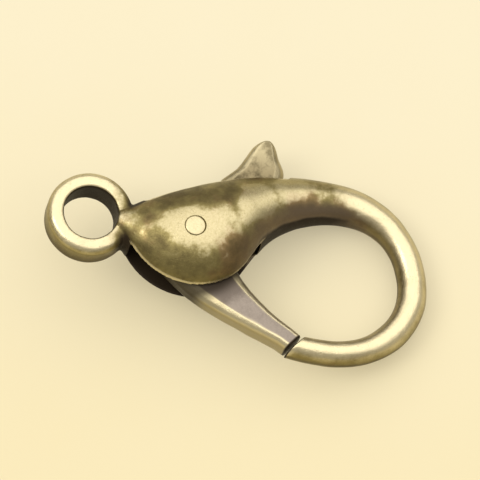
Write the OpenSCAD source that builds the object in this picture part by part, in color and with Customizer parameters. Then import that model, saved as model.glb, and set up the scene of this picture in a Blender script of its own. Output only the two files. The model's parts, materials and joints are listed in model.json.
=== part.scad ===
// Lobster clasp: a cast body with its ring and hook, and a sprung lever on a rivet.
// Each piece is drawn on the flat clasp, with the ring's centre at the origin, +X towards the hook,
// +Y towards the thumb tab and Z across the plate. at_rest() then lays the clasp on the table as it
// lies by itself, on the bulge of its shell and the far end of its hook.

/* [Clasp] */
// Overall length, from the ring's far side to the hook's far side
clasp_l = 12; // [10:0.25:15]
// Width across the hook, without the thumb tab
hook_w = 5.9; // [4.8:0.1:8]

/* [Ring] */
// Diameter of the ring's hole
ring_hole_d = 1.65; // [1:0.05:2.6]
// Width of the ring's metal, seen from above
ring_wall = 0.5; // [0.3:0.01:0.8]
// Thickness of the ring across the plate
ring_t = 1.1; // [0.8:0.05:1.6]

/* [Shell] */
// Width of the shell at its bulge
bulge_w = 3.68; // [3:0.02:5]
// Thickness of the shell at its bulge
bulge_t = 3; // [2.2:0.05:4]
// Solid metal between the ring and the slot
nose_web = 0.35; // [0.2:0.05:0.6]
// Width of the slot that holds the lever and the spring
slot_t = 1.07; // [0.8:0.01:1.4]

/* [Hook] */
// Width of the hook's wire, seen from above
wire_w = 0.9; // [0.6:0.05:1.3]
// Thickness of the hook's wire across the plate
wire_t = 1; // [0.7:0.05:1.4]
// Gap between the gate's tip and the hook's tip
gate_gap = 0.18; // [0.1:0.01:0.4]

/* [Lever] */
// Side clearance between the lever and each wall of the slot
lever_play = 0.06; // [0.03:0.01:0.15]
// Radius of the lever's long edges
lever_edge_r = 0.16; // [0.05:0.01:0.25]
// Distance from the ring's centre to the rivet, along the clasp
pivot_x = 3.12; // [2.8:0.02:3.6]
// How far the thumb tab's tip stands over the shell's back edge
tab_stand = 1.06; // [0.6:0.02:2]
// Clearance between the closed lever and the shell's stop
stop_play = 0.12; // [0.05:0.01:0.3]

/* [Rivet] */
// Diameter of the rivet
rivet_d = 0.64; // [0.5:0.02:0.8]
// Radial clearance of the rivet in the body
rivet_seat_play = 0.02; // [0.01:0.005:0.04]
// Radial clearance of the lever's hub on the rivet
hub_play = 0.05; // [0.02:0.005:0.08]
// How far the rivet's round ends stand proud of the shell
rivet_proud = 0.03; // [0.01:0.01:0.1]

/* [Spring] */
// Outer diameter of the coil
coil_d = 0.7; // [0.5:0.02:0.8]
// Diameter of the spring's wire
coil_wire_d = 0.14; // [0.1:0.01:0.18]
// Number of turns
coil_turns = 5; // [3:1:7]
// Distance from the rivet's centre line to the near side of the coil
coil_stand = 0.84; // [0.8:0.01:1]
// Clearance at each end of the coil
coil_play = 0.05; // [0.03:0.01:0.1]

/* [Hidden] */

ring_r = ring_hole_d / 2 + ring_wall;
reach = clasp_l - ring_r;
lever_t = slot_t - 2 * lever_play;
tab_y = 0.45 * hook_w + tab_stand;
pivot = [pivot_x, 0.008 * hook_w];
joint = [0.651 * reach, -0.415 * hook_w];
tab_tip = [0.4515 * reach, tab_y];
gate_r = norm(joint - pivot) - gate_gap / 2;

// One row for each section of the body, from its nose round to the hook's tip.
// Columns: centre x as a share of reach, centre y as a share of hook_w, angle in degrees of the
// line from the centre to the back edge, width from wire_w (0) to bulge_w (1), thickness from
// wire_t (0) to bulge_t (1).
body_rows = [
    [0.088, 0.003, 90, -0.02, 0.06],
    [0.142, 0.008, 92, 0.31, 0.45],
    [0.203, 0.002, 95, 0.60, 0.75],
    [0.276, 0.003, 98, 0.87, 0.95],
    [0.350, 0.041, 101, 0.98, 1.00],
    [0.413, 0.112, 101, 0.92, 0.91],
    [0.461, 0.192, 96, 0.74, 0.73],
    [0.504, 0.270, 87, 0.53, 0.53],
    [0.563, 0.337, 79, 0.35, 0.36],
    [0.638, 0.388, 76, 0.20, 0.22],
    [0.727, 0.414, 77, 0.11, 0.13],
    [0.827, 0.371, 59, 0.03, 0.06],
    [0.898, 0.258, 35, 0, 0.02],
    [0.936, 0.136, 18, 0, 0],
    [0.957, -0.002, 0, 0.01, 0],
    [0.948, -0.139, -17, 0, 0],
    [0.914, -0.250, -36, 0, 0],
    [0.861, -0.345, -56, -0.03, 0],
    [0.787, -0.402, -76, -0.04, -0.01],
    [0.715, -0.419, -86, -0.05, -0.02],
    [0.625, -0.419, -91, -0.05, -0.02]
];

// One row for each section of the lever. The gate's rows run from its tip back to the rivet, in a
// frame from the rivet to the joint, and the tab's rows go on to the tab's tip, in a frame from the
// rivet to that tip.
// Columns: distance from the rivet as a share of the frame's length, distance to the left of that
// line as a share of bulge_w, angle in degrees from that line to the outer edge, width from
// wire_w (0) to bulge_w (1).
gate_rows = [
    [1.060, 0.000, 276, -0.085],
    [0.905, -0.022, 278, -0.080],
    [0.728, -0.058, 274, -0.045],
    [0.540, -0.082, 270, 0.040],
    [0.381, -0.096, 263, 0.164],
    [0.246, -0.105, 246, 0.320],
    [0.117, -0.083, 231, 0.506]
];
tab_rows = [
    [0.022, -0.035, 119, 0.523],
    [0.152, -0.036, 112, 0.432],
    [0.246, -0.078, 119, 0.360],
    [0.378, -0.152, 125, 0.281],
    [0.522, -0.121, 125, 0.395],
    [0.690, -0.102, 127, 0.350],
    [0.792, -0.097, 127, 0.199],
    [0.873, -0.055, 124, 0.048],
    [0.945, -0.019, 120, -0.056],
    [0.988, -0.006, 117, -0.165],
    [1.000, -0.002, 117, -0.250]
];

// A smooth run through the rows, with a few steps from each row to the next.
function catmull(a, b, c, d, t) = 0.5 * (2 * b + (c - a) * t + (2 * a - 5 * b + 4 * c - d) * t * t
    + (3 * b - a - 3 * c + d) * t * t * t);
function spline(rows, steps) = let (last = len(rows) - 1) [
    for (i = [0 : last - 1], k = [0 : steps - 1])
        catmull(rows[max(i - 1, 0)], rows[i], rows[i + 1], rows[min(i + 2, last)], k / steps),
    rows[last]
];

// Sections in millimetres: [x, y, angle, half width, half thickness].
function half_width(share) = (wire_w + share * (bulge_w - wire_w)) / 2;
function half_thickness(share) = (wire_t + share * (bulge_t - wire_t)) / 2;
function from_pivot(row, end) = let (
    length = norm(end - pivot), along = (end - pivot) / length, left = [-along[1], along[0]],
    centre = pivot + row[0] * length * along + row[1] * bulge_w * left
) [centre[0], centre[1], row[2] + atan2(along[1], along[0]), half_width(row[3]), lever_t / 2];

body_sections = spline([
    for (r = body_rows)
        [r[0] * reach, r[1] * hook_w, r[2], half_width(r[3]), half_thickness(r[4])]
], 3);
lever_sections = spline(concat(
    [for (r = gate_rows) from_pivot(r, joint)],
    [for (r = tab_rows) from_pivot(r, tab_tip)]
), 2);

// Outlines of one section: an oval for the cast body, a flat bar with round edges for the lever.
function in_section(s, w, z) = [s[0] + w * cos(s[2]), s[1] + w * sin(s[2]), z];
function oval(s, sides = 24) = [
    for (j = [0 : sides - 1]) let (a = 360 * j / sides)
        in_section(s, s[3] * cos(a), s[4] * sin(a))
];
function bar(s, steps = 4) = [
    for (q = [0 : 3], k = [0 : steps]) let (
        r = min(lever_edge_r, 0.9 * s[3]),
        a = 90 * (q + k / steps),
        side = q == 0 || q == 3 ? 1 : -1,
        face = q < 2 ? 1 : -1
    ) in_section(s, side * (s[3] - r) + r * cos(a), face * (s[4] - r) + r * sin(a))
];

// A closed solid through a list of rings that have the same number of points each.
module skin(rings) {
    n = len(rings[0]);
    last = len(rings) - 1;
    sides = [
        for (i = [0 : last - 1], j = [0 : n - 1]) let (
            a = i * n + j, b = i * n + (j + 1) % n, c = b + n, d = a + n
        ) each [[a, c, b], [a, d, c]]
    ];
    ends = [[for (j = [0 : n - 1]) j], [for (j = [n - 1 : -1 : 0]) last * n + j]];
    polyhedron([for (ring = rings, p = ring) p], concat(sides, ends), convexity = 10);
}

// Left to itself, the clasp tips towards its hook until the bulge and the hook's far end meet the
// table, and then rolls a little towards the thumb tab, where the lever's weight is.
bulge_foot_x = 0.38 * reach;
hook_foot_x = reach - 0.45 * wire_w;
tip_angle = atan2((bulge_t - wire_t) / 2, hook_foot_x - bulge_foot_x);
roll_angle = -2.8;

function turned(p) = let (z = p[2] * cos(tip_angle) - p[0] * sin(tip_angle)) [
    p[0] * cos(tip_angle) + p[2] * sin(tip_angle),
    p[1] * cos(roll_angle) - z * sin(roll_angle),
    p[1] * sin(roll_angle) + z * cos(roll_angle)
];
body_turned = [for (s = body_sections, p = oval(s)) turned(p)];
lever_turned = [for (s = lever_sections, p = bar(s)) turned(p)];
rest_height = -min([for (p = body_turned) p[2]]);
rest_centre = [
    (max([for (p = body_turned) p[0]]) + turned([-ring_r, 0, 0])[0]) / 2,
    (max([for (p = lever_turned) p[1]]) + min([for (p = body_turned) p[1]])) / 2
];

module at_rest() {
    translate([-rest_centre[0], -rest_centre[1], rest_height])
        rotate([roll_angle, 0, 0]) rotate([0, tip_angle, 0]) children();
}

module body() {
    color([0.62, 0.55, 0.34])
    at_rest()
    difference() {
        union() {
            skin([for (s = body_sections) oval(s)]);
            ring();
        }
        cylinder(d = ring_hole_d, h = 2 * bulge_t, center = true, $fn = 48);
        slot();
        hook_end_cut();
        translate(pivot) cylinder(r = rivet_d / 2 + rivet_seat_play, h = 2 * bulge_t,
            center = true, $fn = 32);
    }
}

// A full round outside and a straight bore inside.
module ring() {
    crown = 0.35 * ring_wall; // the ring is thickest here, measured from the bore
    points = 24;
    rotate_extrude($fn = 48) polygon([
        for (k = [0 : points - 1]) let (a = 360 * k / points)
            [ring_hole_d / 2 + crown + (ring_wall - crown) * cos(a), ring_t / 2 * sin(a)]
    ]);
}

// The spring lies in a frame of its own, with its axis past the rivet: [along, off] the axis.
coil_angle = 28;
coil_mid = coil_stand + coil_d / 2;
function at_coil(t, n) = pivot
    + t * [cos(coil_angle), sin(coil_angle)] + n * [-sin(coil_angle), cos(coil_angle)];
function in_coil(p) = let (x = p[0] - pivot[0], y = p[1] - pivot[1])
    [x * cos(coil_angle) + y * sin(coil_angle), y * cos(coil_angle) - x * sin(coil_angle)];

// Its back end bears on the slot's end near the ring, and its front end on the lever's flank.
seat = (ring_r + nose_web - pivot_x + coil_mid * sin(coil_angle)) / cos(coil_angle);
flank = [
    for (s = lever_sections) let (q = in_coil(in_section(s, s[3], 0))) if (q[0] > 0) [q[1], q[0]]
];
coil_back = seat + coil_play;
coil_front = lookup(coil_stand, flank) - coil_play;

// The stop is a leaning wall at the root of the hook, just off the lever's other flank.
stop_lean = 12;
stop_low_y = 0.11 * hook_w;
stop_off = stop_play + max([
    for (s = lever_sections) let (p = in_section(s, -s[3], 0))
        if (s[1] > 2 * stop_low_y) p[0] * cos(stop_lean) - p[1] * sin(stop_lean)
]);
function on_stop(y) = [(stop_off + y * sin(stop_lean)) / cos(stop_lean), y];

module slot() {
    linear_extrude(slot_t, center = true) polygon([
        at_coil(seat, 2 * hook_w),
        at_coil(seat, coil_stand - coil_play),
        [ring_r + nose_web, 0],
        [ring_r + nose_web, -hook_w],
        [on_stop(stop_low_y)[0], -hook_w],
        on_stop(stop_low_y),
        on_stop(2 * hook_w)
    ]);
}

// The hook's end lies on a circle about the rivet, so that the gate swings clear of it.
module hook_end_cut() {
    intersection() {
        translate(pivot) cylinder(r = gate_r + gate_gap, h = 2 * bulge_t, center = true, $fn = 96);
        translate([pivot_x + 0.2 * reach, -hook_w, -bulge_t])
            cube([0.22 * reach, 0.72 * hook_w, 2 * bulge_t]);
    }
}

module lever() {
    color([0.60, 0.53, 0.42])
    at_rest()
    difference() {
        intersection() {
            skin([for (s = lever_sections) bar(s)]);
            translate(pivot) cylinder(r = gate_r, h = bulge_t, center = true, $fn = 96);
        }
        translate(pivot) cylinder(r = rivet_d / 2 + hub_play, h = bulge_t, center = true, $fn = 32);
    }
}

// A plain pin whose two ends are peened to shallow domes.
module rivet() {
    rim_sink = 0.05; // where the shell has curved away from its crown at the rivet's rim
    rim_z = bulge_t / 2 - rim_sink;
    dome = rim_sink + rivet_proud;
    color([0.66, 0.58, 0.38])
    at_rest()
    translate(pivot)
    rotate_extrude($fn = 32) polygon([
        for (side = [-1, 1], k = [0 : 4]) let (a = 22.5 * (side < 0 ? k : 4 - k))
            [rivet_d / 2 * sin(a), side * (rim_z + dome * cos(a))]
    ]);
}

module spring() {
    steps = 12;
    sides = 6;
    r = (coil_d - coil_wire_d) / 2;
    wire_r = coil_wire_d / 2;
    travel = coil_front - coil_back - coil_wire_d;
    count = steps * coil_turns;
    color([0.45, 0.42, 0.38])
    at_rest()
    skin([
        for (i = [0 : count]) let (
            turn = 180 + 360 * i / steps,
            t = coil_back + wire_r + travel * i / count
        ) [
            for (k = [0 : sides - 1]) let (
                a = 360 * k / sides,
                off = r + wire_r * cos(a),
                p = at_coil(t - wire_r * sin(a), coil_mid + off * cos(turn))
            ) [p[0], p[1], off * sin(turn)]
        ]
    ]);
}

body();
lever();
rivet();
spring();
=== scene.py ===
# Lobster clasp, lying on a pale table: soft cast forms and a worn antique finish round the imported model.
import json
import math
import bpy
from mathutils import Matrix, Vector


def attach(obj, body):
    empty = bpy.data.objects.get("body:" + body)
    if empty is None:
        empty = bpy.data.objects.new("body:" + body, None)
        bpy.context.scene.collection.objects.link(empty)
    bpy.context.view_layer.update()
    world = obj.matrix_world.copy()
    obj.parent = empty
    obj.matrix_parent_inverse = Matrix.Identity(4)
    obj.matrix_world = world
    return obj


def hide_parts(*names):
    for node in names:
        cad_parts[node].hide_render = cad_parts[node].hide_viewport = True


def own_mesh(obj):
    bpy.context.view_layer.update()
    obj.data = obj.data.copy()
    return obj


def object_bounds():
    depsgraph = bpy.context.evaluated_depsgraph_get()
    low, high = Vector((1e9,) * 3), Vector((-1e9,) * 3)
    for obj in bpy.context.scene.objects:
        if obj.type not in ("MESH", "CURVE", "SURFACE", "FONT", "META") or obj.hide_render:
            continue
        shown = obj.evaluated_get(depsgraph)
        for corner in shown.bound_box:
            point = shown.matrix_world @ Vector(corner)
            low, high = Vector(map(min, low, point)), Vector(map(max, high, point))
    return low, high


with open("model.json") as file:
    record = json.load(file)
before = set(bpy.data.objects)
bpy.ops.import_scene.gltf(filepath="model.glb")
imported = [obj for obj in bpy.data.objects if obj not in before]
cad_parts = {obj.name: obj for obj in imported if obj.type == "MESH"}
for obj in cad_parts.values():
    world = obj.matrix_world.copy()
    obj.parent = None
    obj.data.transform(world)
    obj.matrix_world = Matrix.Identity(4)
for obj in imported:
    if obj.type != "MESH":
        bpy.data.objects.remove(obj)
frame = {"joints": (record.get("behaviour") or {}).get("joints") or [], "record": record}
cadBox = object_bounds()

# The pieces are modelled on the flat clasp, in millimetres: the ring's centre is the origin, +X runs
# to the hook, +Y to the thumb tab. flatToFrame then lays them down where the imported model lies.
perMetre = 1000  # millimetres
hinge = frame["joints"][0]
ringHole = next(m for m in frame["record"]["mounts"] if m["name"] == "ring_hole")
plateNormal = Vector(ringHole["axis"]).normalized()
plateAlong = (Vector((1, 0, 0)) - plateNormal * plateNormal.x).normalized()
plateAcross = plateNormal.cross(plateAlong)
flatToFrame = (
    Matrix.Translation(ringHole["pos_m"])
    @ Matrix((plateAlong, plateAcross, plateNormal)).transposed().to_4x4()
    @ Matrix.Scale(1 / perMetre, 4)
)
pivot = flatToFrame.inverted() @ Vector(hinge["pos_m"])

clasp = {
    "length": 12.0,
    "hookWidth": 5.9,
    "bulgeWidth": 3.68,
    "bulgeThickness": 3.0,
    "wireWidth": 0.9,
    "wireThickness": 1.0,
    "slotWidth": 1.07,
    "noseWeb": 0.35,
    "mouthWeb": 0.07,
    "jointX": 0.651,    # share of reach
    "jointY": -0.415,   # share of hookWidth
    "seenGap": 0.08,
    "arcSides": 192,    # of the drums that cut the joint
}
ring = {"hole": 1.65, "wall": 0.5, "thickness": 1.1, "outerRound": 0.27, "innerRound": 0.10}
ringRadius = ring["hole"] / 2 + ring["wall"]
reach = clasp["length"] - ringRadius


def onPlan(x, y):
    # a point of the mid-plane, x as a share of reach and y as a share of hookWidth
    return Vector((x * reach, y * clasp["hookWidth"], 0))


jointPoint = onPlan(clasp["jointX"], clasp["jointY"])
gateRadius = (jointPoint - pivot).length - clasp["seenGap"] / 2
print("frame loaded, pivot at", [round(v, 3) for v in pivot])


def deselect():
    for obj in bpy.context.selected_objects:
        obj.select_set(False)


def makeActive(obj):
    deselect()
    obj.select_set(True)
    bpy.context.view_layer.objects.active = obj


def newest(name):
    obj = bpy.context.object
    obj.name = name
    return obj


def applyModifier(obj, kind, **settings):
    makeActive(obj)
    modifier = obj.modifiers.new(kind.title(), kind)
    for key, value in settings.items():
        setattr(modifier, key, value)
    bpy.ops.object.modifier_apply(modifier=modifier.name)


def combine(obj, other, operation):
    applyModifier(obj, "BOOLEAN", object=other, operation=operation, solver="EXACT")
    bpy.data.objects.remove(other)


def smoothRun(rows, steps):
    # a curve through the rows, with a few steps from each row to the next
    last = len(rows) - 1
    run = []
    for i in range(last):
        near = (rows[max(i - 1, 0)], rows[i], rows[i + 1], rows[min(i + 2, last)])
        for k in range(steps):
            t = k / steps
            run.append([
                0.5 * (2 * b + (c - a) * t + (2 * a - 5 * b + 4 * c - d) * t ** 2
                       + (3 * b - a - 3 * c + d) * t ** 3)
                for a, b, c, d in zip(*near)
            ])
    return run + [rows[last]]


def turnAndSize(angle, sizes, centre):
    # with no window, rotate turns the other way round
    bpy.ops.transform.rotate(value=-angle, orient_axis="Z", center_override=centre)
    if sizes:
        bpy.ops.transform.resize(value=sizes, center_override=centre)


def sweep(name, sections, corner):
    # sections: [x, y, angle in degrees, half width, half thickness]. A square face with round corners
    # is pushed along them; with a corner share of 1 it is a circle.
    deselect()
    bpy.ops.mesh.primitive_plane_add(size=2, rotation=(math.pi / 2, 0, 0))
    obj = newest(name)
    bpy.ops.object.transform_apply(location=True, rotation=True, scale=True)
    bpy.ops.object.mode_set(mode="EDIT")
    bpy.ops.mesh.select_all(action="SELECT")
    bpy.ops.mesh.bevel(offset=corner, offset_type="OFFSET", segments=4, affect="VERTICES")
    bpy.ops.mesh.remove_doubles(threshold=0.001)
    bpy.ops.mesh.select_all(action="SELECT")
    x, y, angle, wide, thick = sections[0]
    bpy.ops.transform.resize(value=(wide, 1, thick), center_override=(0, 0, 0))
    turnAndSize(math.radians(angle), None, (0, 0, 0))
    bpy.ops.transform.translate(value=(x, y, 0))
    for nextX, nextY, nextAngle, nextWide, nextThick in sections[1:]:
        bpy.ops.mesh.extrude_region_move()
        turnAndSize(-math.radians(angle), (nextWide / wide, 1, nextThick / thick), (x, y, 0))
        turnAndSize(math.radians(nextAngle), None, (x, y, 0))
        bpy.ops.transform.translate(value=(nextX - x, nextY - y, 0))
        x, y, angle, wide, thick = nextX, nextY, nextAngle, nextWide, nextThick
    bpy.ops.mesh.select_all(action="SELECT")
    bpy.ops.mesh.normals_make_consistent(inside=False)
    bpy.ops.object.mode_set(mode="OBJECT")
    return obj


def tracePlate(name, points, thickness):
    # one vertex pushed round the outline, filled and thickened about the mid-plane
    deselect()
    bpy.ops.mesh.primitive_plane_add(size=0.1, location=(*points[0], -thickness / 2))
    obj = newest(name)
    bpy.ops.object.transform_apply(location=True, rotation=True, scale=True)
    bpy.ops.object.mode_set(mode="EDIT")
    bpy.ops.mesh.select_all(action="SELECT")
    bpy.ops.mesh.merge(type="CENTER")
    for here, there in zip(points, points[1:]):
        bpy.ops.mesh.extrude_region_move(
            TRANSFORM_OT_translate={"value": (there[0] - here[0], there[1] - here[1], 0)})
    bpy.ops.mesh.select_all(action="SELECT")
    bpy.ops.mesh.edge_face_add()
    bpy.ops.mesh.extrude_region_move(TRANSFORM_OT_translate={"value": (0, 0, thickness)})
    bpy.ops.mesh.select_all(action="SELECT")
    bpy.ops.mesh.normals_make_consistent(inside=False)
    bpy.ops.object.mode_set(mode="OBJECT")
    return obj


def drum(name, radius, height, centre=(0, 0, 0), sides=96):
    deselect()
    bpy.ops.mesh.primitive_cylinder_add(vertices=sides, radius=radius, depth=height, location=centre)
    obj = newest(name)
    bpy.ops.object.transform_apply(location=True, rotation=True, scale=True)
    return obj


def castSkin(obj, voxel, rounds, ripple, rippleSize):
    # one closed skin with soft edges and the slight waviness of a small tumbled casting
    applyModifier(obj, "REMESH", mode="VOXEL", voxel_size=voxel, use_smooth_shade=True)
    applyModifier(obj, "SMOOTH", factor=0.5, iterations=rounds)
    clouds = bpy.data.textures.new(obj.name + "Waves", "CLOUDS")
    clouds.noise_scale = rippleSize
    clouds.noise_depth = 1
    applyModifier(obj, "DISPLACE", texture=clouds, strength=ripple, mid_level=0.5,
                  texture_coords="LOCAL")
    print(obj.name, "skin:", len(obj.data.polygons), "faces")


def layDown(obj, body, node, material):
    obj.matrix_world = flatToFrame
    makeActive(obj)
    bpy.ops.object.transform_apply(location=True, rotation=True, scale=True)
    bpy.ops.object.shade_smooth()
    obj.data.materials.clear()
    obj.data.materials.append(material)
    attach(obj, body)
    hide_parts(node)


def halfWidth(share):
    return (clasp["wireWidth"] + share * (clasp["bulgeWidth"] - clasp["wireWidth"])) / 2


def halfThickness(share):
    return (clasp["wireThickness"] + share * (clasp["bulgeThickness"] - clasp["wireThickness"])) / 2


# Columns: distance from the rivet as a share of the way to the joint (gate) or to the tab's tip (tab),
# distance to the left of that way as a share of bulgeWidth, angle from it to the outer edge in degrees,
# width from wire (0) to bulge (1).
gateRows = [
    (1.060, 0.000, 276, -0.085),
    (0.905, -0.026, 278, -0.069),
    (0.728, -0.074, 274, -0.002),
    (0.540, -0.107, 270, 0.106),
    (0.381, -0.121, 263, 0.230),
    (0.246, -0.120, 246, 0.360),
    (0.117, -0.083, 231, 0.506),
]
tabRows = [
    (0.022, -0.035, 119, 0.523),
    (0.152, -0.036, 112, 0.432),
    (0.246, -0.078, 119, 0.360),
    (0.378, -0.152, 125, 0.281),
    (0.522, -0.121, 125, 0.395),
    (0.690, -0.102, 127, 0.350),
    (0.792, -0.097, 127, 0.199),
    (0.873, -0.055, 124, 0.048),
    (0.945, -0.019, 120, -0.056),
    (0.988, -0.006, 117, -0.165),
    (1.000, -0.002, 117, -0.250),
]
lever = {
    "play": 0.06,       # to each side of the slot
    "corner": 0.62,     # how round the section is, up to 1
    "tabX": 0.4515,     # share of reach
    "tabY": 0.45,       # share of hookWidth
    "tabStand": 1.06,
    "boreClearance": 0.05,
    "steps": 2,
    "skin": {"voxel": 0.035, "rounds": 4, "ripple": 0.02, "rippleSize": 0.7},
}
tabTip = Vector((lever["tabX"] * reach, lever["tabY"] * clasp["hookWidth"] + lever["tabStand"], 0))


def fromPivot(row, end):
    way = end - pivot
    along = way.normalized()
    left = Vector((-along.y, along.x, 0))
    centre = pivot + row[0] * way + row[1] * clasp["bulgeWidth"] * left
    angle = row[2] + math.degrees(math.atan2(along.y, along.x))
    return [centre.x, centre.y, angle, halfWidth(row[3]), clasp["slotWidth"] / 2 - lever["play"]]


leverSections = smoothRun(
    [fromPivot(row, jointPoint) for row in gateRows] + [fromPivot(row, tabTip) for row in tabRows],
    lever["steps"])


def makeLever():
    obj = sweep("gate_lever", leverSections, lever["corner"])
    high = clasp["bulgeThickness"]
    combine(obj, drum("gate_swing", gateRadius, high, pivot, clasp["arcSides"]), "INTERSECT")
    bore = rivet["across"] / 2 + lever["boreClearance"]
    combine(obj, drum("hub_bore", bore, high, pivot), "DIFFERENCE")
    castSkin(obj, **lever["skin"])
    return obj


# The rim and the crown of each head are heights above the mid-plane.
rivet = {"across": 0.64, "recess": 0.006, "rim": 1.42, "crown": 1.458, "rings": 6, "sides": 64}


def makeRivet():
    # a short drum whose ends are inset step by step into low domes
    obj = drum("rivet_pin", rivet["across"] / 2, 2 * rivet["rim"], pivot, rivet["sides"])
    bpy.ops.object.mode_set(mode="EDIT")
    bpy.ops.mesh.select_mode(type="FACE")
    bpy.ops.mesh.select_all(action="DESELECT")
    bpy.ops.object.mode_set(mode="OBJECT")
    for face in obj.data.polygons:
        face.select = abs(face.normal.z) > 0.9
    bpy.ops.object.mode_set(mode="EDIT")
    rise = rivet["crown"] - rivet["rim"]
    inset = rivet["across"] / 2 / (rivet["rings"] + 1)
    for i in range(rivet["rings"]):
        low, high = i / rivet["rings"], (i + 1) / rivet["rings"]
        climb = rise * ((1 - (1 - high) ** 2) - (1 - (1 - low) ** 2))
        bpy.ops.mesh.inset(thickness=inset, depth=climb, use_individual=True)
    bpy.ops.object.mode_set(mode="OBJECT")
    return obj


# The spring lies along its own line past the rivet, from the slot's end to the lever's flank.
spring = {
    "angle": math.radians(28),
    "stand": 0.87,      # from the rivet's axis to the coil's near side
    "flank": 0.815,     # where the closed lever's flank crosses the coil's line
    "width": 0.60,
    "wire": 0.14,
    "turns": 5,
    "play": 0.05,
    "keep": 0.64,       # share of its length when the gate is open
    "sides": 12,        # round the wire
    "steps": 32,        # in each turn
}
coilAlong = Vector((math.cos(spring["angle"]), math.sin(spring["angle"]), 0))
coilAcross = Vector((-coilAlong.y, coilAlong.x, 0))
coilMiddle = spring["stand"] + spring["width"] / 2
seat = (ringRadius + clasp["noseWeb"] - pivot.x + coilMiddle * coilAlong.y) / coilAlong.x


def atCoil(along, across):
    return pivot + along * coilAlong + across * coilAcross


def makeSpring():
    wire = spring["wire"] / 2
    radius = spring["width"] / 2 - wire
    start = seat + spring["play"] + wire
    end = spring["flank"] - spring["play"] - wire
    deselect()
    bpy.ops.mesh.primitive_circle_add(
        vertices=spring["sides"], radius=wire, location=(-radius, 0, 0), rotation=(math.pi / 2, 0, 0),
        fill_type="NGON")
    obj = newest("coil_spring")
    bpy.ops.object.transform_apply(location=True, rotation=True, scale=True)
    applyModifier(obj, "SCREW", axis="Z", angle=2 * math.pi, iterations=spring["turns"],
                  steps=spring["steps"], render_steps=spring["steps"],
                  screw_offset=(end - start) / spring["turns"], use_merge_vertices=False)
    bpy.ops.object.mode_set(mode="EDIT")
    bpy.ops.mesh.select_all(action="SELECT")
    bpy.ops.mesh.fill_holes(sides=spring["sides"])
    bpy.ops.mesh.select_all(action="SELECT")
    bpy.ops.mesh.normals_make_consistent(inside=False)
    bpy.ops.object.mode_set(mode="OBJECT")
    turn = Matrix((coilAcross, Vector((0, 0, 1)), coilAlong)).transposed().to_4x4()
    obj.matrix_world = Matrix.Translation(atCoil(start, coilMiddle)) @ turn
    bpy.ops.object.transform_apply(location=True, rotation=True, scale=True)
    return obj


# Columns: centre x as a share of reach, centre y as a share of hookWidth, angle of the line from the
# centre to the back edge in degrees, width and thickness, each from wire (0) to bulge (1).
bodyRows = [
    (0.062, 0.003, 90, 0.00, 0.16),
    (0.102, 0.003, 90, 0.06, 0.22),
    (0.142, -0.017, 92, 0.42, 0.45),
    (0.203, -0.024, 95, 0.71, 0.75),
    (0.276, -0.007, 98, 0.91, 0.95),
    (0.350, 0.041, 101, 0.98, 1.00),
    (0.413, 0.112, 101, 0.92, 0.91),
    (0.461, 0.192, 96, 0.74, 0.73),
    (0.504, 0.270, 87, 0.53, 0.53),
    (0.563, 0.337, 79, 0.35, 0.36),
    (0.638, 0.388, 76, 0.20, 0.22),
    (0.727, 0.414, 77, 0.11, 0.13),
    (0.827, 0.371, 59, 0.03, 0.06),
    (0.898, 0.258, 35, 0, 0.02),
    (0.936, 0.136, 18, 0, 0),
    (0.957, -0.002, 0, 0.01, 0),
    (0.948, -0.139, -17, 0, 0),
    (0.914, -0.250, -36, 0, 0),
    (0.861, -0.345, -56, -0.03, 0),
    (0.787, -0.402, -76, -0.04, -0.01),
    (0.715, -0.419, -86, -0.05, -0.02),
    (0.625, -0.419, -91, -0.05, -0.02),
    (0.560, -0.419, -91, -0.05, -0.02),
]
casting = {
    "levels": 3,
    "noseClearance": 0.01,
    "stopLean": math.radians(12),
    "stopLow": 0.11,    # share of hookWidth
    "stopClearance": 0.12,
    "jointLeft": 0.2,   # from the rivet, share of reach
    "jointWide": 0.22,  # share of reach
    "jointTop": 0.28,   # share of hookWidth, down from the mid-line
    "skin": {"voxel": 0.04, "rounds": 5, "ripple": 0.03, "rippleSize": 0.9},
}


def slotOutline():
    # from the coil's seat round by the ring, out past the belly, and up along the stop
    lean = casting["stopLean"]
    lowY = casting["stopLow"] * clasp["hookWidth"]
    flanks = [
        (s[0] - s[3] * math.cos(math.radians(s[2]))) * math.cos(lean)
        - (s[1] - s[3] * math.sin(math.radians(s[2]))) * math.sin(lean)
        for s in leverSections if s[1] > 2 * lowY
    ]
    stop = max(flanks) + casting["stopClearance"]  # clear of the closed lever
    far = 2 * clasp["hookWidth"]

    def onStop(y):
        return ((stop + y * math.sin(lean)) / math.cos(lean), y)

    front = ringRadius + clasp["mouthWeb"]
    return [
        atCoil(seat, far)[:2],
        atCoil(seat, spring["stand"] - spring["play"])[:2],
        (front, 0),
        (front, -clasp["hookWidth"]),
        (onStop(lowY)[0], -clasp["hookWidth"]),
        onStop(lowY),
        onStop(far),
    ]


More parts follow.
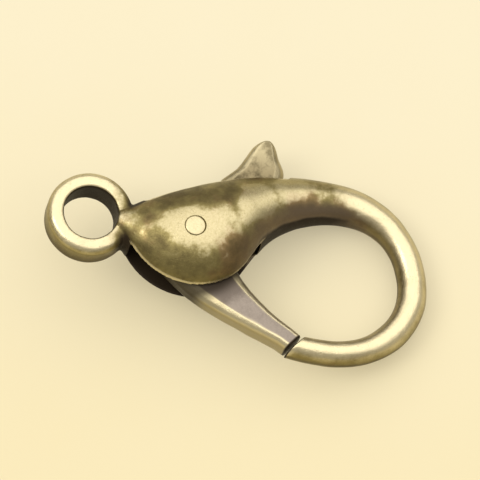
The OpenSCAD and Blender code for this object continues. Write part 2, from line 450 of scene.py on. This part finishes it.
def makeBody():
    grow = 6 / (4 + 2 * math.cos(math.pi / 8))  # subdividing pulls a round section in by this
    sections = [
        (x * reach, y * clasp["hookWidth"], angle, grow * halfWidth(w), grow * halfThickness(t))
        for x, y, angle, w, t in bodyRows
    ]
    obj = sweep("cast_body", sections, 1)
    applyModifier(obj, "SUBSURF", levels=casting["levels"], render_levels=casting["levels"])
    high = 2 * clasp["bulgeThickness"]
    band = drum("ring_band", ringRadius, ring["thickness"])
    applyModifier(band, "BEVEL", width=ring["outerRound"], segments=6, limit_method="ANGLE")
    combine(band, drum("band_bore", ring["hole"] / 2, high), "DIFFERENCE")
    applyModifier(band, "BEVEL", width=ring["innerRound"], segments=3, limit_method="ANGLE")
    print("ring band:", len(band.data.polygons), "faces")
    combine(obj, drum("nose_cut", ring["hole"] / 2 + casting["noseClearance"], high), "DIFFERENCE")
    combine(obj, band, "UNION")
    combine(obj, tracePlate("slot_cut", slotOutline(), clasp["slotWidth"]), "DIFFERENCE")
    # the gate's swing trims the hook's tip, and nothing else of the body
    swing = drum("swing_cut", gateRadius + clasp["seenGap"], high, pivot, clasp["arcSides"])
    left = pivot.x + casting["jointLeft"] * reach
    right = left + casting["jointWide"] * reach
    bottom = -clasp["hookWidth"]
    top = casting["jointTop"] * bottom
    box = tracePlate("swing_part", [(left, bottom), (right, bottom), (right, top), (left, top)], high - 1)
    combine(swing, box, "INTERSECT")
    combine(obj, swing, "DIFFERENCE")
    castSkin(obj, **casting["skin"])
    combine(obj, drum("rivet_bore", rivet["across"] / 2 + rivet["recess"], high, pivot), "DIFFERENCE")
    return obj


class Value:
    # a number that changes over the surface, used in plain sums
    def __init__(self, finish, socket):
        self.finish = finish
        self.socket = socket

    def maths(self, operation, first, second=0.0, clamp=False):
        settings = {"operation": operation, "use_clamp": clamp}
        made = self.finish.node("Math", settings, {0: first, 1: second})
        return Value(self.finish, made.outputs[0])

    def __add__(self, other):
        return self.maths("ADD", self, other)

    def __radd__(self, other):
        return self.maths("ADD", other, self)

    def __sub__(self, other):
        return self.maths("SUBTRACT", self, other)

    def __rsub__(self, other):
        return self.maths("SUBTRACT", other, self)

    def __mul__(self, other):
        return self.maths("MULTIPLY", self, other)

    def __rmul__(self, other):
        return self.maths("MULTIPLY", other, self)

    def __abs__(self):
        return self.maths("ABSOLUTE", self)

    def limited(self):
        return self.maths("ADD", self, 0.0, clamp=True)


class Finish:
    # one material; positions inside it are in millimetres
    def __init__(self, name, gloss=0.08):
        self.material = bpy.data.materials.new(name)
        self.material.use_nodes = True
        self.tree = self.material.node_tree
        self.shader = self.tree.nodes["Principled BSDF"]
        self.shader.inputs["Specular IOR Level"].default_value = gloss
        place = self.node("TexCoord", {}, {})
        self.normal = place.outputs["Normal"]
        self.position = self.node(
            "VectorMath", {"operation": "SCALE"},
            {"Vector": place.outputs["Object"], "Scale": perMetre}).outputs[0]

    def node(self, kind, settings, sockets):
        made = self.tree.nodes.new("ShaderNode" + kind)
        for name, value in settings.items():
            setattr(made, name, value)
        for name, value in sockets.items():
            self.feed(made.inputs[name], value)
        return made

    def feed(self, socket, value):
        if isinstance(value, Value):
            value = value.socket
        if isinstance(value, bpy.types.NodeSocket):
            self.tree.links.new(value, socket)
        else:
            socket.default_value = value

    def noise(self, perMillimetre, detail, roughness=0.5, at=None, seed=0.0):
        made = self.node(
            "TexNoise", {"noise_dimensions": "4D"},
            {"Vector": at or self.position, "W": seed, "Scale": perMillimetre, "Detail": detail,
             "Roughness": roughness})
        return Value(self, made.outputs[0])

    def cells(self, perMillimetre):
        made = self.node(
            "TexVoronoi", {"feature": "F1"}, {"Vector": self.position, "Scale": perMillimetre})
        return Value(self, made.outputs["Distance"])

    def step(self, value, low, high):
        # 0 up to low, rising to 1 at high
        made = self.node(
            "MapRange", {"interpolation_type": "SMOOTHSTEP"},
            {"Value": value, "From Min": low, "From Max": high})
        return Value(self, made.outputs["Result"])

    def fade(self, value, low, high):
        # 1 up to low, falling to 0 at high
        return 1 - self.step(value, low, high)

    def openness(self, distance, inside=False):
        made = self.node(
            "AmbientOcclusion", {"only_local": True, "inside": inside, "samples": 12},
            {"Distance": distance / perMetre})
        return Value(self, made.outputs["AO"])

    def facing(self, direction):
        made = self.node("VectorMath", {"operation": "DOT_PRODUCT"}, {0: self.normal, 1: direction})
        return Value(self, made.outputs["Value"])

    def facingPoint(self, point):
        # 1 where the surface looks straight at the point, -1 where it looks straight away
        way = self.node("VectorMath", {"operation": "SUBTRACT"}, {0: point, 1: self.position}).outputs[0]
        unit = self.node("VectorMath", {"operation": "NORMALIZE"}, {0: way}).outputs[0]
        return self.facing(unit)

    def farFrom(self, point, at=None):
        made = self.node("VectorMath", {"operation": "DISTANCE"}, {0: at or self.position, 1: point})
        return Value(self, made.outputs["Value"])

    def beyond(self, point, direction):
        # how far the surface lies past the point in this direction
        way = self.node("VectorMath", {"operation": "SUBTRACT"}, {0: self.position, 1: point}).outputs[0]
        made = self.node("VectorMath", {"operation": "DOT_PRODUCT"}, {0: way, 1: direction})
        return Value(self, made.outputs["Value"])

    def pressedFlat(self, point, direction):
        # the position moved along the direction to the plane through the point
        height = self.beyond(point, direction)
        shift = self.node("VectorMath", {"operation": "SCALE"}, {0: direction, "Scale": height}).outputs[0]
        return self.node("VectorMath", {"operation": "SUBTRACT"}, {0: self.position, 1: shift}).outputs[0]

    def mix(self, amount, first, second):
        # sockets 6 and 7 of the node are its two colours, and output 2 is the mixed one
        made = self.node(
            "Mix", {"data_type": "RGBA"}, {"Factor": amount, 6: first, 7: second})
        return made.outputs[2]

    def relief(self, height, depth):
        made = self.node("Bump", {}, {"Strength": 1.0, "Distance": depth / perMetre, "Height": height})
        self.feed(self.shader.inputs["Normal"], made.outputs["Normal"])

    def surface(self, **sockets):
        for name, value in sockets.items():
            self.feed(self.shader.inputs[name.replace("_", " ")], value)
        return self.material


def inMillimetres(flatPoint):
    return tuple((flatToFrame @ Vector(flatPoint)) * perMetre)


# Colours are linear; the plating is an olive antique brass, rubbed bright where it stands out.
brass = {
    "worn": (0.64, 0.565, 0.365, 1),
    "plated": (0.27, 0.225, 0.090, 1),
    "warm": (0.24, 0.150, 0.075, 1),
    "patina": (0.078, 0.060, 0.028, 1),
    "dull": (0.200, 0.154, 0.114, 1),
    "blackPatinaAndShade": (0.023, 0.016, 0.009, 1),
    "wornRough": 0.26,
    "patinaRough": 0.46,
    "relief": 0.012,
    "blotches": {"perMillimetre": 0.9, "detail": 5, "roughness": 0.62, "seed": 1.0},
    "mottle": {"perMillimetre": 3.0, "detail": 5, "roughness": 0.62, "seed": 2.0},
    "grain": {"perMillimetre": 16, "detail": 4, "roughness": 0.6, "seed": 3.0},
    "redness": {"perMillimetre": 1.5, "detail": 4, "roughness": 0.6, "seed": 5.0},
    "pits": 5.5,        # in each millimetre
    "hollow": 0.75,     # for these three: how far the open space is felt for
    "crease": 0.28,
    "lip": 0.16,
}

# Columns: along and across the flat clasp and radius in millimetres, how much darker and how much
# redder. Darker spots are stains, with painted shade along the shell's upper flank and the belly's lower
# edge;
# spots below zero are painted highlights.
patches = [
    (2.65, 0.00, 0.85, -0.62, 0.0),
    (3.35, 0.05, 0.90, -0.70, 0.0),
    (4.85, 1.40, 0.85, -0.95, 0.0),
    (5.90, 2.35, 0.80, -0.45, 0.0),
    (2.05, -0.75, 0.70, 0.55, 0.0),
    (1.60, 0.18, 0.42, 0.45, 0.0),
    (3.20, -1.20, 0.80, 0.20, 0.0),
    (4.45, -0.30, 0.80, 0.35, 0.3),
    (2.30, 0.85, 0.75, 0.75, 0.0),
    (3.10, 1.15, 0.75, 0.70, 0.0),
    (3.85, 1.50, 0.70, 0.55, 0.0),
    (6.30, 1.80, 0.80, 0.36, 0.3),
    (7.30, 2.00, 0.66, 0.46, 0.2),
    (7.90, 1.75, 0.70, 0.25, 0.1),
]

# Columns: turn and fineness of the scratches about each axis, where in the noise they start and are full.
scratchRows = [
    ((0.3, 0.5, 0.7), (55, 1.6, 55), 0.60, 0.70),
    ((0.9, -0.4, -0.6), (1.6, 60, 60), 0.62, 0.72),
]

# Where each zone of the finish starts and ends: distances and heights in millimetres, the rest shares.
zones = {
    "clean": (2.9, 4.4),
    "byHook": (2.9, 4.6),
    "byRoot": (1.2, 3.8),
    "looksIn": (-0.10, 0.60),
    "looksDeepIn": (0.58, 0.90),
    "looksToRing": (0.12, 0.58),
    "inRingHole": (0.97, 1.12),
    "atJoint": (0.55, 0.75),
    "pastTip": (0.01, 0.07),
    "slotHeight": (0.52, 0.66),
    "slotFromHub": (1.8, 2.3),
    "slotFromRing": (1.2, 1.5),
    "edgeOn": (0.70, 0.98),
    "ringFlankShade": (0.45, 0.85),
    "ringReach": (1.5, 1.8),
    "under": (-0.50, 0.20),
    "lip": (0.18, 0.42),
    "rimFoot": (0.50, 0.58),
    "rimTop": (0.80, 1.05),
    "rimFromHub": (2.4, 2.9),
    "neckCorner": (1.25, 0.52, 0.2),  # a place, not a range
    "neck": (0.25, 0.60),
    "offRivet": (0.50, 0.75),
    "dark": (-0.2, 1.2),
    "blackPatinaAndShade": (0.46, 0.90),
    "rubbedAndHighlit": (0.25, 1.0),
    "warmth": (0.50, 0.75),
    "pits": (0.02, 0.14),
    "pitted": (0.48, 0.62),
}


def antiqueBrass(name, wear, grime=0.0):
    finish = Finish(name)
    hub = inMillimetres(pivot)
    ringMiddle = inMillimetres((0, 0, 0))
    normal = tuple(plateNormal)
    flatPlace = finish.pressedFlat(hub, normal)
    fromHub = finish.farFrom(hub)
    fromRing = finish.farFrom(ringMiddle)
    height = finish.beyond(hub, normal)
    # the spots summed here are stains, painted shade and, where negative, painted highlights
    stainShadeAndHighlight = 0.0
    redder = 0.0
    for alongX, acrossY, radius, darkerBy, red in patches:
        away = finish.farFrom(inMillimetres((alongX, acrossY, 0)), flatPlace)
        near = finish.fade(away, 0.2 * radius, radius)
        stainShadeAndHighlight = stainShadeAndHighlight + near * darkerBy
        redder = redder + near * red
    blotches = finish.noise(**brass["blotches"])
    mottle = finish.noise(**brass["mottle"])
    grain = finish.noise(**brass["grain"])
    hollow = 1 - finish.openness(brass["hollow"])
    crease = 1 - finish.openness(brass["crease"])
    lips = 1 - finish.openness(brass["lip"], inside=True)
    flank = 1 - abs(finish.facing(normal))
    edgeOn = finish.step(flank, *zones["edgeOn"])
    # the shell and the hook's root are patchy; the ring and the hook's far bend are rubbed clean
    shellMiddle = inMillimetres(onPlan(0.39, 0.10))
    clean = finish.step(finish.farFrom(shellMiddle), *zones["clean"])
    patchy = 1 - clean * 0.6
    # tumbling hardly reaches the inside of the hook, of the ring and of the slot, so patina stays there;
    # the masks below also paint shade into these places
    opening = inMillimetres(onPlan(0.72, -0.01))
    root = inMillimetres(onPlan(0.50, 0.34))
    facingIn = finish.facingPoint(opening)
    sheltered = (finish.fade(finish.farFrom(opening), *zones["byHook"])
                 * (1 - finish.step(finish.farFrom(root), *zones["byRoot"]) * 0.72))
    inHook = finish.step(facingIn, *zones["looksIn"]) * sheltered
    deepInHook = finish.step(facingIn, *zones["looksDeepIn"]) * sheltered
    inRing = (finish.step(finish.facingPoint(ringMiddle), *zones["looksToRing"])
              * finish.fade(fromRing, *zones["inRingHole"]))
    atJoint = finish.fade(finish.farFrom(inMillimetres(jointPoint)), *zones["atJoint"])
    tipFace = gateRadius + clasp["seenGap"]
    # painted shade: the trimmed tip's end face at the joint is darkened like a shaded gap
    endFace = atJoint * finish.fade(fromHub, *(tipFace + past for past in zones["pastTip"]))
    inSlot = (finish.fade(abs(height), *zones["slotHeight"]) * finish.fade(fromHub, *zones["slotFromHub"])
              * finish.step(fromRing, *zones["slotFromRing"]))
    inside = inHook * 0.6 + inRing + endFace + inSlot
    # painted shade: the ring's outer flank is darker on its lower half, towards the table, and a little
    # lighter on its upper half
    ringFlankShade = (finish.step(flank, *zones["ringFlankShade"]) * finish.fade(fromRing, *zones["ringReach"])
                 * (1 - inRing))
    under = finish.fade(height, *zones["under"])
    # painted highlight: a light line along the upper shell's lip at the slot, on that side only, partly
    # rubbed wear
    upperLipHighlight = (finish.step(lips, *zones["lip"]) * finish.step(height, *zones["rimFoot"])
               * finish.fade(height, *zones["rimTop"]) * finish.fade(fromHub, *zones["rimFromHub"]))
    neckX, neckY, neckZ = zones["neckCorner"]
    neck = 0.0
    for side in (-1, 1):
        corner = inMillimetres((neckX, side * neckY, neckZ))
        neck = neck + finish.fade(finish.farFrom(corner), *zones["neck"])
    # in the sums below each number is the weight of what stands before it
    # this sum darkens with patina and dirt, and also carries painted shade (slot, ring hole, joint, inside
    # of the hook, the ring's lower flank) and painted highlights (spots below zero)
    dirtAndPaintedLight = (hollow * 1.6 + crease * 1.4 + flank * 0.4 + edgeOn * 0.5 + inside * 0.8 + neck * 1.1
            + patchy * ((blotches - 0.5) * 2.0 + (mottle - 0.5) * 1.9) + stainShadeAndHighlight + grime + 0.15
            + ringFlankShade * (under * 1.1 - 0.40) - clean * 0.28)
    dark = finish.step(dirtAndPaintedLight, *zones["dark"]) * (1 - upperLipHighlight * 0.9)
    # black and not metallic: patina in hollows and creases, and painted shade in the slot, the ring's
    # hole, the joint's end faces and deep inside the hook
    blackPatinaAndShade = finish.step(hollow + crease * 0.5 + inRing * 0.76 + deepInHook * 0.85 + inSlot + endFace * 2
                        + neck * 0.45 + mottle * 0.25 - upperLipHighlight, *zones["blackPatinaAndShade"])
    edges = lips * (1 - inside.limited()) * finish.step(finish.farFrom(hub, flatPlace), *zones["offRivet"])
    # rubbed wear, plus the painted highlights of the slot's upper lip and of the spots below zero
    rubbedAndHighlit = finish.step(
        wear + clean * 0.4 + edges * 0.9 + upperLipHighlight * 1.1 + grain * 0.35 - dark * 0.9 - flank * 0.8,
        *zones["rubbedAndHighlit"])
    warmth = finish.step(finish.noise(**brass["redness"]) + redder, *zones["warmth"])
    colour = finish.mix(warmth * 0.7, brass["plated"], brass["warm"])
    colour = finish.mix(rubbedAndHighlit, colour, brass["worn"])
    colour = finish.mix(dark * 0.86, colour, brass["patina"])
    # partly patina, partly a painted dull reflection and shade on the hook's inner side, strongest by the
    # hook's root
    colour = finish.mix(inHook * 0.75, colour, brass["dull"])
    colour = finish.mix(blackPatinaAndShade, colour, brass["blackPatinaAndShade"])
    pits = finish.fade(finish.cells(brass["pits"]), *zones["pits"])
    pitted = pits * finish.step(blotches, *zones["pitted"])
    colour = finish.mix(pitted * 0.55, colour, brass["patina"])
    scratches = 0.0
    for turned, fineness, low, high in scratchRows:
        stretched = finish.node("Mapping", {}, {
            "Vector": finish.position, "Rotation": turned, "Scale": fineness}).outputs[0]
        lines = finish.noise(perMillimetre=1.0, detail=1, roughness=0.4, at=stretched)
        scratches = scratches + finish.step(lines, low, high)
    rough = brass["wornRough"] + dark * (brass["patinaRough"] - brass["wornRough"]) + grain * 0.10
    finish.relief(mottle * 0.9 + grain * 0.25 - pitted * 0.5 - scratches * 0.14, brass["relief"])
    return finish.surface(Base_Color=colour, Metallic=1 - blackPatinaAndShade, Roughness=rough - scratches * 0.04)


# The ranges are distances from the rivet or towards the tab in millimetres, and shares for the rest.
gateBrass = {
    "face": (0.29, 0.250, 0.215, 1),
    "faceDark": (0.105, 0.085, 0.072, 1),
    "olive": (0.26, 0.215, 0.125, 1),
    "oliveDark": (0.085, 0.068, 0.036, 1),
    "tip": (0.46, 0.400, 0.250, 1),
    "tipDark": (0.16, 0.132, 0.072, 1),
    "rough": 0.27,
    "relief": 0.014,
    "mottle": {"perMillimetre": 3.0, "detail": 6, "roughness": 0.66, "seed": 7.0},
    "grain": {"perMillimetre": 19, "detail": 4, "roughness": 0.6, "seed": 8.0},
    "smudge": {"perMillimetre": 1.9, "detail": 5, "roughness": 0.66, "seed": 9.0},
    "flatRange": (0.955, 0.995),
    "hubRange": (1.90, 2.75),
    "hubShadeRange": (1.82, 2.26),
    "endRange": (-0.07, -0.02),  # counted from the gate's end face
    "smudgeRange": (0.40, 0.62),
    "tabRange": (1.0, 1.8),
    "tipRange": (2.4, 3.5),
    "turnRange": (0.15, 0.60),
}


def leverBrass(name):
    # flat faces stay as cast, grey and dull; the rounded rims are rubbed to brass
    finish = Finish(name)
    pin = inMillimetres(pivot)
    across = tuple(plateAcross)
    fromPin = finish.farFrom(pin)
    up = finish.beyond(pin, across)
    level = abs(finish.facing(tuple(plateNormal)))
    mottle = finish.noise(**gateBrass["mottle"])
    grain = finish.noise(**gateBrass["grain"])
    flat = finish.step(level, *gateBrass["flatRange"])
    # the face darkens towards the rivet and blackens nearer still: partly grime at the hub, partly painted
    # shade where the lever runs under the shell's edge
    hub = finish.fade(fromPin, *gateBrass["hubRange"])
    hubShadeAndGrime = finish.fade(fromPin, *gateBrass["hubShadeRange"])
    # painted shade: the gate's end face is blackened like the shaded gap at the joint
    endFace = finish.step(fromPin, *(gateRadius + past for past in gateBrass["endRange"]))
    dark = finish.step(mottle * 0.9 + grain * 0.5 + hub * 1.1 - 0.45, 0.0, 1.0)
    face = finish.mix(dark * 0.75, gateBrass["face"], gateBrass["faceDark"])
    smudge = finish.step(finish.noise(**gateBrass["smudge"]), *gateBrass["smudgeRange"])
    olive = finish.mix(smudge, gateBrass["olive"], gateBrass["oliveDark"])
    tip = finish.mix(smudge * 0.8, gateBrass["tip"], gateBrass["tipDark"])
    olive = finish.mix(finish.step(up, *gateBrass["tipRange"]), olive, tip)
    tab = finish.step(up, *gateBrass["tabRange"])
    face = finish.mix(tab, face, olive)
    side = finish.fade(level, *gateBrass["turnRange"])
    rim = finish.mix(dark * 0.25, brass["worn"], brass["plated"])
    rim = finish.mix(side * 0.5, rim, brass["patina"])
    inner = finish.step(finish.facing(across), *gateBrass["turnRange"])
    rim = finish.mix((inner * 0.7 * (1 - tab) + tab * 0.75).limited(), rim, face)
    colour = finish.mix(flat, rim, face)
    # black and not metallic: painted shade and grime under the shell's edge by the rivet, and painted
    # shade at the end face
    blackenedShadeAndGrime = (hubShadeAndGrime * 0.9 + endFace).limited()
    colour = finish.mix(blackenedShadeAndGrime, colour, brass["blackPatinaAndShade"])
    rough = gateBrass["rough"] + flat * 0.2 + grain * 0.08
    finish.relief(mottle * 0.7 + grain * 0.4, gateBrass["relief"])
    return finish.surface(Base_Color=colour, Metallic=1 - blackenedShadeAndGrime, Roughness=rough)


steel = {
    "bright": (0.30, 0.27, 0.22, 1),
    "dark": (0.10, 0.085, 0.06, 1),
    "rough": 0.32,
    "relief": 0.004,
    "mottle": {"perMillimetre": 6, "detail": 4, "roughness": 0.6},
    "grain": {"perMillimetre": 30, "detail": 3},
}


def springSteel(name):
    finish = Finish(name)
    mottle = finish.noise(**steel["mottle"])
    colour = finish.mix(mottle, steel["bright"], steel["dark"])
    finish.relief(finish.noise(**steel["grain"]), steel["relief"])
    return finish.surface(Base_Color=colour, Metallic=1.0, Roughness=steel["rough"] + mottle * 0.12)


castFinish = antiqueBrass("cast_brass", wear=0.50)
leverFinish = leverBrass("lever_brass")
rivetFinish = antiqueBrass("rivet_brass", wear=0.62, grime=-0.25)
springFinish = springSteel("spring_steel")
print("finishes made")

layDown(makeBody(), "clasp", "body", castFinish)
layDown(makeLever(), "gate", "lever", leverFinish)
layDown(makeRivet(), "clasp", "rivet", rivetFinish)
coil = makeSpring()
layDown(coil, "clasp", "spring", springFinish)
coilFoot = flatToFrame @ atCoil(seat, coilMiddle)
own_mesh(coil)
print("pieces in place")

# The table's colour shifts from near to far over twice "deep" millimetres, with faint clouds in it. The
# table also glows in that colour: painted light that softens the shade round the clasp.
stage = {
    "wide": 0.8,
    "near": (0.402, 0.354, 0.226, 1),
    "far": (0.408, 0.372, 0.270, 1),
    "deep": 10.0,
    "clouds": {"perMillimetre": 0.25, "detail": 3},
    "cloudy": 0.3,
    "rough": 0.7,
    "glow": 0.89,
}
deselect()
bpy.ops.mesh.primitive_plane_add(size=stage["wide"], location=(0, 0, 0))
table = newest("table")
top = Finish("pale_table")
depth = top.step(top.beyond((0, 0, 0), (0, 1, 0)), -stage["deep"], stage["deep"])
clouded = depth + top.noise(**stage["clouds"]) * stage["cloudy"] - stage["cloudy"] / 2
paper = top.mix(clouded, stage["near"], stage["far"])
table.data.materials.append(top.surface(
    Base_Color=paper, Roughness=stage["rough"], Emission_Color=paper, Emission_Strength=stage["glow"]))

# Metres and watts.
light = {
    "room": (0.54, 0.505, 0.44, 1),
    "tint": (1, 0.97, 0.92),
    "key": {"from": (0.0, 0.30, 0.95), "away": 0.50, "wide": 1.25, "high": 1.00, "power": 5.7},
    "side": {"from": (-0.60, -0.15, 0.80), "away": 0.50, "wide": 0.22, "high": 0.22, "power": 0.5},
}
world = bpy.data.worlds.new("room")
bpy.context.scene.world = world
world.use_nodes = True
world.node_tree.nodes["Background"].inputs["Color"].default_value = light["room"]


def softbox(name, setting):
    lamp = bpy.data.lights.new(name, "AREA")
    lamp.shape = "RECTANGLE"
    lamp.size = setting["wide"]
    lamp.size_y = setting["high"]
    lamp.energy = setting["power"]
    lamp.color = light["tint"]
    obj = bpy.data.objects.new(name, lamp)
    bpy.context.scene.collection.objects.link(obj)
    away = Vector(setting["from"]).normalized()
    obj.location = away * setting["away"]
    obj.rotation_mode = "QUATERNION"
    obj.rotation_quaternion = away.to_track_quat("Z", "Y")


softbox("key_softbox", light["key"])
softbox("side_softbox", light["side"])

# Angles in degrees; the rest in metres, but the sensor in millimetres.
view = {"turn": 11.3, "rise": 70.5, "away": 0.376, "frameWide": 0.0146, "sensor": 36, "clip": (0.01, 10)}
turn = math.radians(view["turn"])
rise = math.radians(view["rise"])
back = Vector((math.sin(turn) * math.cos(rise), -math.cos(turn) * math.cos(rise), math.sin(rise)))
lens = bpy.data.cameras.new("camera")
camera = bpy.data.objects.new("camera", lens)
bpy.context.scene.collection.objects.link(camera)
bpy.context.scene.camera = camera
camera.location = (cadBox[0] + cadBox[1]) / 2 + back * view["away"]
camera.rotation_mode = "QUATERNION"
camera.rotation_quaternion = back.to_track_quat("Z", "Y")
lens.sensor_width = view["sensor"]
lens.lens = view["sensor"] * view["away"] / view["frameWide"]
lens.clip_start, lens.clip_end = view["clip"]
bpy.context.scene.view_settings.view_transform = "Standard"
print("table, light and camera set")
